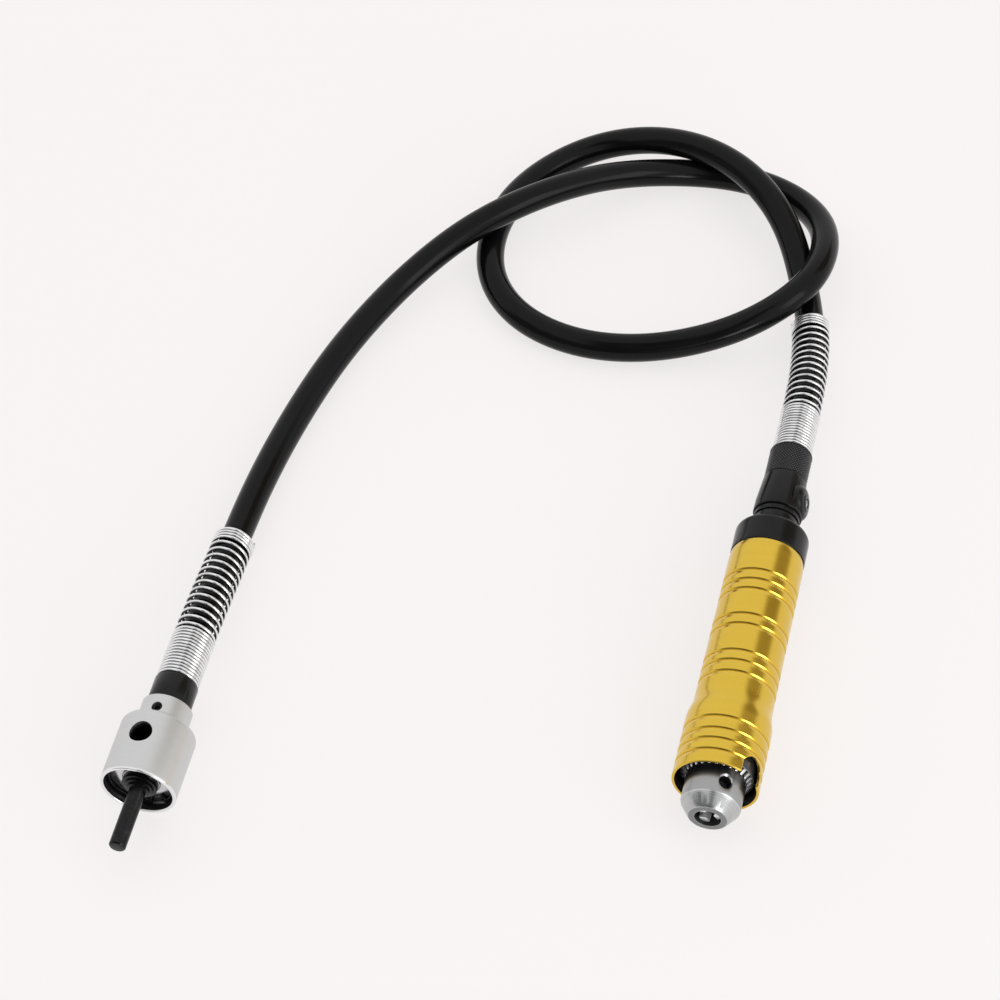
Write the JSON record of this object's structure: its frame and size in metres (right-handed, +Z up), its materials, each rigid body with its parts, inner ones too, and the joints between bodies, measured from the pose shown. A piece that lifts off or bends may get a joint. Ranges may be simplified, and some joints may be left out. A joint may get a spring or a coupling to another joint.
{
  "type": "rotary tool with flex shaft",
  "caption": "Flexible shaft hand tool with a keyed three-jaw chuck in a ribbed handle, a looped hose with spring guards and a drive connector with a round shank.",
  "frame": {"origin": "bottom centre of the object without its hose, on the surface that it lies on", "axes": "+Y along both rigid ends from their tips towards the hose, +X from the drive end to the handpiece, +Z up"},
  "size_m": [0.24, 0.4055, 0.0332],
  "materials": {
    "gold_anodised": "satin gold anodised aluminium",
    "black_gloss": "smooth black",
    "black_steel": "black oxide steel",
    "bright_steel": "turned steel",
    "spring_wire": "bright nickel-plated wire",
    "hose_rubber": "smooth satin black rubber",
    "satin_nickel": "satin nickel plate",
    "bearing_steel": "ground bearing steel",
    "bronze_bush": "sintered bronze",
    "chuck_steel": "satin turned steel",
    "sleeve_steel": "dark hardened steel",
    "jaw_steel": "ground hardened steel"
  },
  "bodies": {
    "root": {"handle_shell": "gold_anodised", "rear_collar": "black_gloss", "rear_spigot": "black_steel", "coupler_sleeve": "black_gloss", "coupler_grub_screw": "bright_steel", "knurled_ferrule": "black_gloss", "handpiece_spring": "spring_wire", "hose": "hose_rubber", "drive_spring": "spring_wire", "drive_ferrule": "black_gloss", "drive_connector": "satin_nickel", "connector_grub_screw": "black_steel", "mouth_circlip": "black_steel", "drive_bearing_shield": "bright_steel", "drive_bearing_outer": "bearing_steel", "drive_bearing_balls": "bearing_steel", "drive_bush": "bronze_bush", "front_bearing_outer": "bearing_steel", "front_bearing_balls": "bearing_steel", "rear_bearing_outer": "bearing_steel", "rear_bearing_balls": "bearing_steel", "outer_spacer": "bright_steel"},
    "chuck": {"chuck_body": "chuck_steel", "chuck_spindle": "bright_steel", "front_bearing_inner": "bearing_steel", "rear_bearing_inner": "bearing_steel", "inner_spacer": "bright_steel", "spindle_circlip": "black_steel", "core_end_handpiece": "bright_steel"},
    "sleeve": {"chuck_sleeve": "sleeve_steel", "split_nut": "sleeve_steel"},
    "jaw_1": {"jaw_1": "jaw_steel"},
    "jaw_2": {"jaw_2": "jaw_steel"},
    "jaw_3": {"jaw_3": "jaw_steel"},
    "drive": {"drive_spindle": "black_steel", "drive_bearing_inner": "bearing_steel", "drive_spindle_circlip": "black_steel", "spindle_grub_screw": "bright_steel", "core_end_drive": "bright_steel"}
  },
  "joints": [
    {"name": "chuck_spin", "type": "hinge", "parent": "root", "child": "chuck", "pos_m": [0.1034, -0.06, 0.0166], "axis": [0, -1, 0], "continuous": true},
    {"name": "drive_spin", "type": "hinge", "parent": "root", "child": "drive", "pos_m": [-0.10525, -0.12, 0.01475], "axis": [0, 1, 0], "continuous": true},
    {"name": "sleeve_turn", "type": "hinge", "parent": "chuck", "child": "sleeve", "pos_m": [0.1034, -0.07, 0.0166], "axis": [0, 1, 0], "range_deg": [-1685, 2495]},
    {"name": "jaw_1_slide", "type": "slide", "parent": "chuck", "child": "jaw_1", "axis": [-0.2396, -0.9703, -0.0337], "range_m": [-0.00517, 0.00764]},
    {"name": "jaw_2_slide", "type": "slide", "parent": "chuck", "child": "jaw_2", "axis": [0.1489, -0.9703, -0.1906], "range_m": [-0.00517, 0.00764]},
    {"name": "jaw_3_slide", "type": "slide", "parent": "chuck", "child": "jaw_3", "axis": [0.0906, -0.9703, 0.2243], "range_m": [-0.00517, 0.00764]}
  ],
  "couplings": [
    {"joint": "drive_spin", "follows": "chuck_spin", "ratio": 1},
    {"joint": "jaw_1_slide", "follows": "sleeve_turn", "m_per_rad": 0.00017507},
    {"joint": "jaw_2_slide", "follows": "sleeve_turn", "m_per_rad": 0.00017507},
    {"joint": "jaw_3_slide", "follows": "sleeve_turn", "m_per_rad": 0.00017507}
  ]
}
